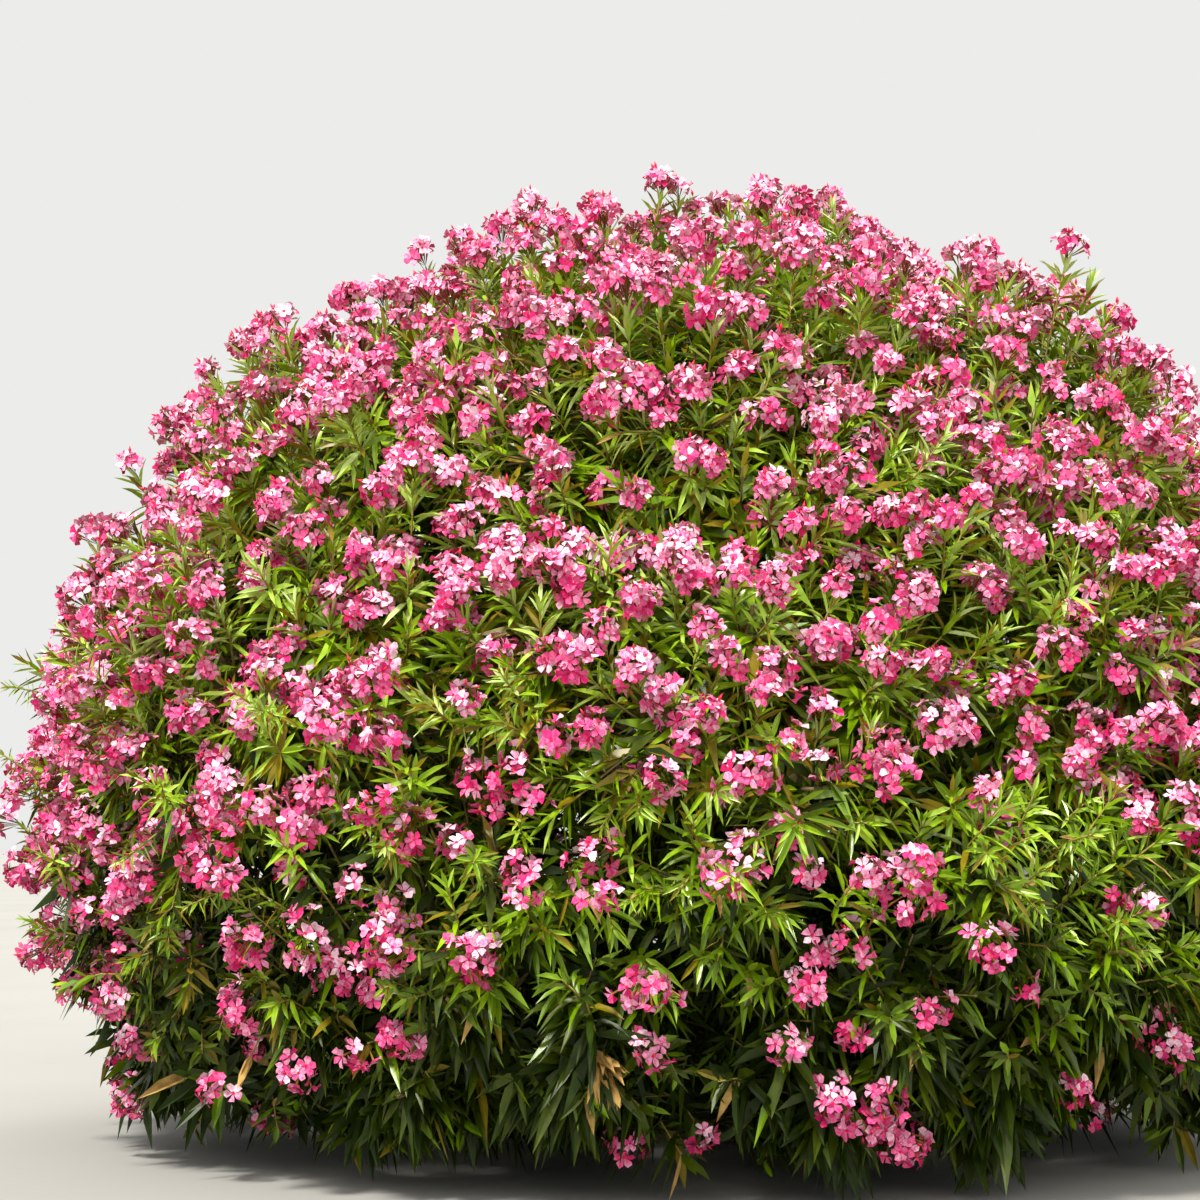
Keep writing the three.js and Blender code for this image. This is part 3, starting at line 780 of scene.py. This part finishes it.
def inner_sprays(ends, limbs, first, hearts):
    """Shoots of older leaves to the ends given, from the limbs or the first shoots."""
    share = share_of(ends)[:, None]
    mass, _ = nearest_two(hearts, ends / share)
    keep_above(ends, 2 * LOWEST)
    forks, run = fork_from(first, mass, ends, 0.05, 0.4)
    low_forks, low_run = fork_from_limbs(limbs, ends)
    forks, run = np.where(share < FROM_LIMB, low_forks, forks), np.where(share < FROM_LIMB, low_run, run)
    heading = unit(unit(ends) + random.normal(0, 0.3, ends.shape))
    paths, reach = shoot_paths(forks, run, ends, heading, 0.3, INNER_STEPS)
    none = np.zeros(len(ends), bool)
    return {"path": paths, "end": ends, "mass": mass, "reach": reach, "flowers": none, "withered": none,
            "arching": none, "joints": np.full(len(ends), JOINTS["inner"])}


def sparse_places(shoots, places, depths, reach, fewer, ends):
    """Ends for filling shoots, behind places of the surface where few leaves stand."""
    leafy = [along_path(rows["path"], np.full(len(rows["end"]), back))[0]
             for rows in shoots for back in LEAFY_BACKS]
    leafy = np.concatenate(leafy)
    tree = KDTree(len(leafy))
    for number, point in enumerate(leafy):
        tree.insert(point, number)
    tree.balance()
    places = even_points(places)
    inward = -outward_at(places * TIP_SHARE)
    met = [[len(tree.find_range(point, reach)) for point in places + inward * depth] for depth in depths]
    sparse = np.sum(met, axis=0) < fewer
    return places[sparse] + inward[sparse] * random.uniform(*ends, (np.count_nonzero(sparse), 1))


def old_looks(shaded):
    """Tints of the leaves inside, with painted shade: dark, and darker low down."""
    roll = random.random(len(shaded)) - 0.8 * shaded
    return np.select([roll > 0.75, roll > 0.5, roll > 0.12, roll > -0.1], [MID, OLIVE, DEEP, INNER], DARK)


def leaf_looks(here, joint):
    """Tints of the outer leaves, with painted light and shade: darker down the shoot and low down, lighter on
    arching shoots, some olive or dry.
    """
    count, shaded = len(here["tint"]), here["shaded"]
    # Painted shade: the index grows down the shoot and low down, and falls on arching shoots that reach out.
    shade = 0.18 + here["tint"] + here["paling"] * joint + 1.7 * shaded + 1.5 * here["large"]
    shade = shade - 0.5 * here["arching"] + random.normal(0, 0.6, count)
    look = np.clip(np.round(shade), YOUNG_SUNLIT, DARK).astype(int)
    look[random.random(count) < 0.18 - 0.16 * shaded + 0.15 * here["fine"]] = OLIVE
    look[here["withered"] | (random.random(count) < 0.003 + 0.006 * shaded)] = DRY
    return look


def leaf_directions(here, ahead, axes, joint, side, old):
    """Which way leaves run and face: they open out more down the shoot and low in the shade."""
    withered, count = here["withered"], len(ahead)
    angle = here["turn"] + joint * math.pi / 3 + side * 2 * math.pi / 3 + random.normal(0, 0.18, count)
    out = turned(angle, *axes)
    spread = 18 + 8 * min(joint, OPENING_JOINTS) + 8 * here["shaded"] + 26 * here["large"] + 18 * old
    spread = np.where(withered, 6, spread + 12 * here["arching"])
    spread = np.radians(spread + random.normal(0, 1, count) * np.where(withered, 4, 10))[:, None]
    along = unit(ahead * np.cos(spread) + out * np.sin(spread))
    return along, unit(ahead * np.sin(spread) - out * np.cos(spread))


def whorl_rows(here, joint, old):
    """The three leaves at one joint of each shoot."""
    arching, count = here["arching"], len(here["mass"])
    measure = {}
    for key, small in HIGH_LEAF.items():
        value = OLD_LEAF[key] if old else small + (LOW_LEAF[key] - small) * here["large"]
        measure[key] = value * np.where(arching, ARCHING_LEAF[key], 1)
    place, ahead = along_path(here["path"], 0.004 + measure["spacing"] * joint * here["vigour"])
    axes = cross_axes(ahead)
    rows = []
    for side in range(3):
        along, face = leaf_directions(here, ahead, axes, joint, side, old)
        size = here["vigour"] * (0.6 + 0.11 * min(joint, GROWING_JOINTS)) * random.uniform(*VIGOUR, count)
        size *= 1 - 0.3 * here["fine"]
        sag = 0.03 + 0.03 * min(joint, OPENING_JOINTS)
        sag += (0.06 + 0.3 * here["droop"]) * here["hanging"] * (1 - 0.5 * arching)
        sag += random.uniform(0, 0.06, count)
        look = old_looks(here["shaded"]) if old else leaf_looks(here, joint)
        length, width = measure["length"] * size, measure["width"] * size**0.6
        rows.append((here["mass"], place, along, face, length, width, sag, look))
    return rows


def leaf_rows(spray, old=False):
    """Every leaf on the shoots: whorls of three, turned by a sixth at each joint."""
    count, across, height = len(spray["end"]), spray["end"][:, 0], spray["end"][:, 2]
    shoots = {key: spray[key] for key in ("path", "mass", "arching", "withered")}
    shoots["turn"] = random.random(count) * 2 * math.pi
    shoots["vigour"] = random.uniform(*VIGOUR, count)
    shoots["tint"], shoots["droop"] = random.random(count), random.random(count)
    for key, band in (("large", LARGE), ("shaded", SHADED), ("hanging", HANGING)):
        shoots[key] = 1 - smooth(*band, height)
    # Painted shade: how much darker each joint down the shoot gets, less so high up.
    shoots["paling"] = 0.22 - 0.08 * smooth(1.1, 1.8, height)
    shoots["fine"] = smooth(-0.2, -1.0, across) * smooth(0.2, 0.45, height) * (1 - smooth(0.9, 1.3, height))
    rows = []
    for joint in range(np.max(spray["joints"])):
        used = (spray["joints"] > joint) & (~spray["flowers"] | (joint > 0))
        rows += whorl_rows(pick(shoots, used), joint, old)
    return joined(rows)


def old_leaf_rows(spray):
    """Older leaves low on the shoots, which close the view into the hollow."""
    rows = []
    count, start = len(spray["end"]), OLD_LEAF["start"]
    for _ in range(OLD_LEAF["per_spray"]):
        back = start + (spray["reach"] - start) * random.uniform(0, 0.8, count)
        place, _ = along_path(spray["path"], back)
        out = unit(place - UP * 0.3)
        aside = unit(np.cross(out, random.normal(0, 1, (count, 3))))
        along = unit(aside + out * random.uniform(-0.1, 0.6, (count, 1)))
        face = out + random.normal(0, 0.25, (count, 3))
        face = unit(face - along * np.sum(face * along, axis=-1, keepdims=True))
        size = random.uniform(0.8, 1.25, count)
        look = old_looks(1 - smooth(*SHADED, place[:, 2]))
        length, width = OLD_LEAF["length"] * size, OLD_LEAF["width"] * size
        rows.append((spray["mass"], place, along, face, length, width, np.full(count, OLD_LEAF["sag"]), look))
    return joined(rows)


def blossom_heads(spray):
    """The heads of blossom at the ends of the flowering shoots."""
    heads = pick({key: spray[key] for key in ("end", "mass", "heading")}, spray["flowers"])
    ends, count = heads["end"], len(heads["end"])
    axis = unit(heads["heading"] + outward_at(ends) * 0.6 + random.normal(0, 0.12, ends.shape))
    size = random.uniform(0.72, 1.3, count)
    heads |= {"axis": axis, "size": size, "tint": random.random(count)}
    heads["long_way"] = turned(random.random(count) * 2 * math.pi, *cross_axes(axis))
    heads["short_way"] = np.cross(axis, heads["long_way"])
    heads["stretch"], heads["squeeze"] = random.uniform(1.0, 1.45, count), random.uniform(0.75, 1.0, count)
    heads["centre"] = ends + axis * (FLOWER["cluster"] * size)[:, None]
    keep_above(heads["centre"], 0.09)
    loose = 1 - smooth(0.6, 1.4, ends[:, 2])
    full = FLOWER["count"] * size**1.5 * (1 - 0.15 * loose) + random.normal(0, 1.5, count)
    heads["full"] = np.clip(np.round(full), FLOWER["least"], FLOWER["most"])
    heads["spread"] = FLOWER["cluster"] * size * (1 + 0.25 * loose)
    return heads


def flower_rows(heads):
    """The flowers of every head, spread over it by the golden angle."""
    rows = []
    for j in range(FLOWER["most"]):
        here = pick(heads, heads["full"] > j)
        count = len(here["size"])
        down = np.arccos(1 - (j + 0.5) / here["full"] * 1.25)
        around = j * GOLDEN_ANGLE + random.normal(0, 0.25, count)
        wide = np.sin(down) * here["spread"] * random.uniform(0.55, 1.12, count)
        high = np.cos(down) * here["spread"] * random.uniform(0.5, 1.05, count)
        place = here["centre"] + here["axis"] * high[:, None]
        place += here["long_way"] * (wide * np.cos(around) * here["stretch"])[:, None]
        place += here["short_way"] * (wide * np.sin(around) * here["squeeze"])[:, None]
        out = unit(place - here["centre"] + here["axis"] * FLOWER["cluster"] * 0.25)
        facing = unit(out + UP * 0.1 + random.normal(0, 0.3, out.shape))
        radius = FLOWER["radius"] * random.uniform(0.84, 1.14, count)
        # Painted shade: a flower's tint is deeper the more it faces down.
        tint = here["tint"] * 0.4 + random.random(count) * 0.5 + (0.5 - 0.5 * out[:, 2]) * 0.7
        rows.append((here["mass"], place, facing, here["end"], radius, np.digitize(tint, [0.55, 0.98])))
    return joined(rows)


def bud_rows(heads):
    """A few buds that stand out of every head."""
    rows = []
    for _ in range(BUDS):
        here = pick(heads, random.random(len(heads["size"])) < 0.8)
        count = len(here["size"])
        out = unit(here["axis"] + random.normal(0, 0.55, (count, 3)))
        root = here["centre"] + out * (FLOWER["cluster"] * here["size"] * 0.85)[:, None]
        rows.append((here["mass"], root, out, random.uniform(*BUD_LENGTH, count)))
    return joined(rows)


def only(rows, masses):
    """The rows of these masses, without the first column, which says the mass."""
    mine = np.isin(rows[0], masses)
    return [column[mine] for column in rows[1:]]


def dress_leaves(ring, nodes, masses, leaves):
    """A ring's outer leaves. Those that curve much have a bend in the midrib."""
    place, along, face, length, width, sag, look = only(leaves, masses)
    piece = Piece()
    curl = random.uniform(0.0, 0.16, len(place))
    columns = (place, along, face, length, width, curl, sag, look)
    bent = (curl + sag) * length / 4 > width * BEND
    for faces, mine in ((STRAIGHT, ~bent), (BENT, bent)):
        add_leaves(piece, faces, *[column[mine] for column in columns])
    piece.build(f"{ring}_leaves", LEAVES, nodes)


def dress_shade(ring, nodes, masses, shade):
    """The older leaves inside a ring."""
    piece = Piece()
    add_old_leaves(piece, *only(shade, masses))
    piece.build(f"{ring}_old_leaves", LEAVES, nodes)


def straight_paths(starts, ends, length):
    """Sampled lines a share of the way from starts to ends."""
    return np.stack([starts + (ends - starts) * s for s in np.linspace(0, length, TWIG_STEPS + 1)], axis=1)


def dress_twigs(ring, nodes, masses, finer, first, hearts, doors):
    """The masses' stems, first shoots and finer ones, green towards the tips."""
    piece = Piece()
    add_tubes(piece, straight_paths(doors[masses], hearts[masses], 1), MASS_STEM, [BARKED] * TWIG_STEPS)
    mine = pick(first, np.isin(first["mass"], masses))
    paths = straight_paths(mine["start"], mine["tip"], FIRST_SHOOT["length"])
    add_tubes(piece, paths, FIRST_SHOOT, [BARKED] * 2 + [BROWN] * (TWIG_STEPS - 2))
    for spray in finer:
        paths = spray["path"][np.isin(spray["mass"], masses)]
        add_tubes(piece, paths, FINE_SHOOT, [BROWN] * 2 + [GREEN] * (paths.shape[1] - 3))
    piece.build(f"{ring}_twigs", WOODS, nodes)


def dress_blossom(ring, nodes, masses, flowers, buds):
    """A ring's flowers, and their stalks and buds as a piece of their own."""
    place, facing, root, radius, look = only(flowers, masses)
    piece = Piece()
    add_flowers(piece, place, facing, random.random(len(place)) * 2 * math.pi, radius, look)
    piece.build(f"{ring}_blossom", PETALS, nodes)
    stalks = Piece()
    under = place - facing * (radius * EYE_DEPTH)[:, None]
    add_slim_shapes(stalks, root, under, facing, radius * STALK_WIDTH, 3, STALK)
    root, out, length = only(buds, masses)
    ahead = out * length[:, None]
    add_slim_shapes(stalks, root, root + ahead * 0.45, out, length * BUD_WIDTH, 4, BUD, tips=root + ahead)
    stalks.build(f"{ring}_stalks_and_buds", PETALS, nodes)


def dress_foliage(names, hearts, doors, limbs):
    """Leaves, twigs and blossom for each ring of masses."""
    first = first_shoots(hearts, doors)
    spray = sprays(first, hearts)
    leaves = leaf_rows(spray)
    finer = [spray, inner_sprays(inner_places(), limbs, first, hearts)]
    for sparse in SPARSE:
        finer.append(inner_sprays(sparse_places(finer, **sparse), limbs, first, hearts))
    shade = joined([old_leaf_rows(spray), *(leaf_rows(rows, old=True) for rows in finer[1:])])
    heads = blossom_heads(spray)
    flowers, buds = flower_rows(heads), bud_rows(heads)
    for ring, *_ in RINGS:
        masses = masses_of(names, ring)
        part = ring, [names[i] for i in masses], masses
        dress_leaves(*part, leaves)
        dress_shade(*part, shade)
        dress_twigs(*part, finer, first, hearts, doors)
        dress_blossom(*part, flowers, buds)


# The studio: the floor's reach, the world's colour and strength, and the lamps: name, where the light comes
# from, its width in radians, and strength. The camera: its place, how many degrees it looks up, its focal
# length and the photograph's side in pixels, and its sensor's width.
FLOOR_REACH = 400.0
WORLD_COLOUR, WORLD_STRENGTH, LAMP_COLOUR = (234, 234, 232), 1.02, (1.0, 0.965, 0.9)
LAMPS = [
    ("key", (-0.34, -0.62, 1.0), 0.16, 4.6),
    ("fill", (0.1, -1.0, 0.9), 0.9, 1.1),
    ("back", (0.7, 0.9, 0.8), 0.5, 1.0),
]
CAMERA_PLACE, LOOK_UP, FOCAL_PIXELS, PHOTO_PIXELS, SENSOR = (-0.24, -6.0, 0.75), 6.4, 2222, 1200, 36


def add_to_scene(name, data):
    """Puts a new object into the scene."""
    thing = bpy.data.objects.new(name, data)
    bpy.context.scene.collection.objects.link(thing)
    return thing


def lay_floor():
    """A plain pale floor."""
    floor = bpy.data.meshes.new("floor")
    corners = [(x * FLOOR_REACH, y * FLOOR_REACH, 0) for x, y in ((-1, -1), (1, -1), (1, 1), (-1, 1))]
    floor.from_pydata(corners, [], [(0, 1, 2, 3)])
    pale = plant_material("floor_pale", (158, 157, 153), (163, 162, 158), 0.9, 0.2, grain=0.6, relief=0)
    floor.materials.append(pale)
    add_to_scene("floor", floor)


def light():
    """Soft studio light from above the front left."""
    world = bpy.data.worlds.new("studio")
    world.use_nodes = True
    background = world.node_tree.nodes["Background"]
    background.inputs["Color"].default_value = linear(*WORLD_COLOUR)
    background.inputs["Strength"].default_value = WORLD_STRENGTH
    bpy.context.scene.world = world
    for name, source, wide, strength in LAMPS:
        lamp = bpy.data.lights.new(name, "SUN")
        lamp.angle, lamp.energy, lamp.color = wide, strength, LAMP_COLOUR
        add_to_scene(name, lamp).rotation_euler = Vector(source).to_track_quat("Z", "Y").to_euler()


def place_camera():
    """A camera at the photograph's angle."""
    camera = bpy.data.cameras.new("camera")
    camera.sensor_width, camera.lens = SENSOR, SENSOR * FOCAL_PIXELS / PHOTO_PIXELS
    holder = add_to_scene("camera", camera)
    holder.location = CAMERA_PLACE
    holder.rotation_euler = (math.radians(90 + LOOK_UP), 0, 0)
    bpy.context.scene.camera = holder
    bpy.context.scene.view_settings.view_transform = "Standard"


names, turns, hearts, doors = lay_out_masses()
stems = lay_out_stems(names, turns, doors)
boughs = lay_out_boughs(names, turns, doors, stems)
dress_limbs(stems, boughs)
dress_root(stems)
dress_foliage(names, hearts, doors, stems | boughs)
lay_floor()
light()
place_camera()
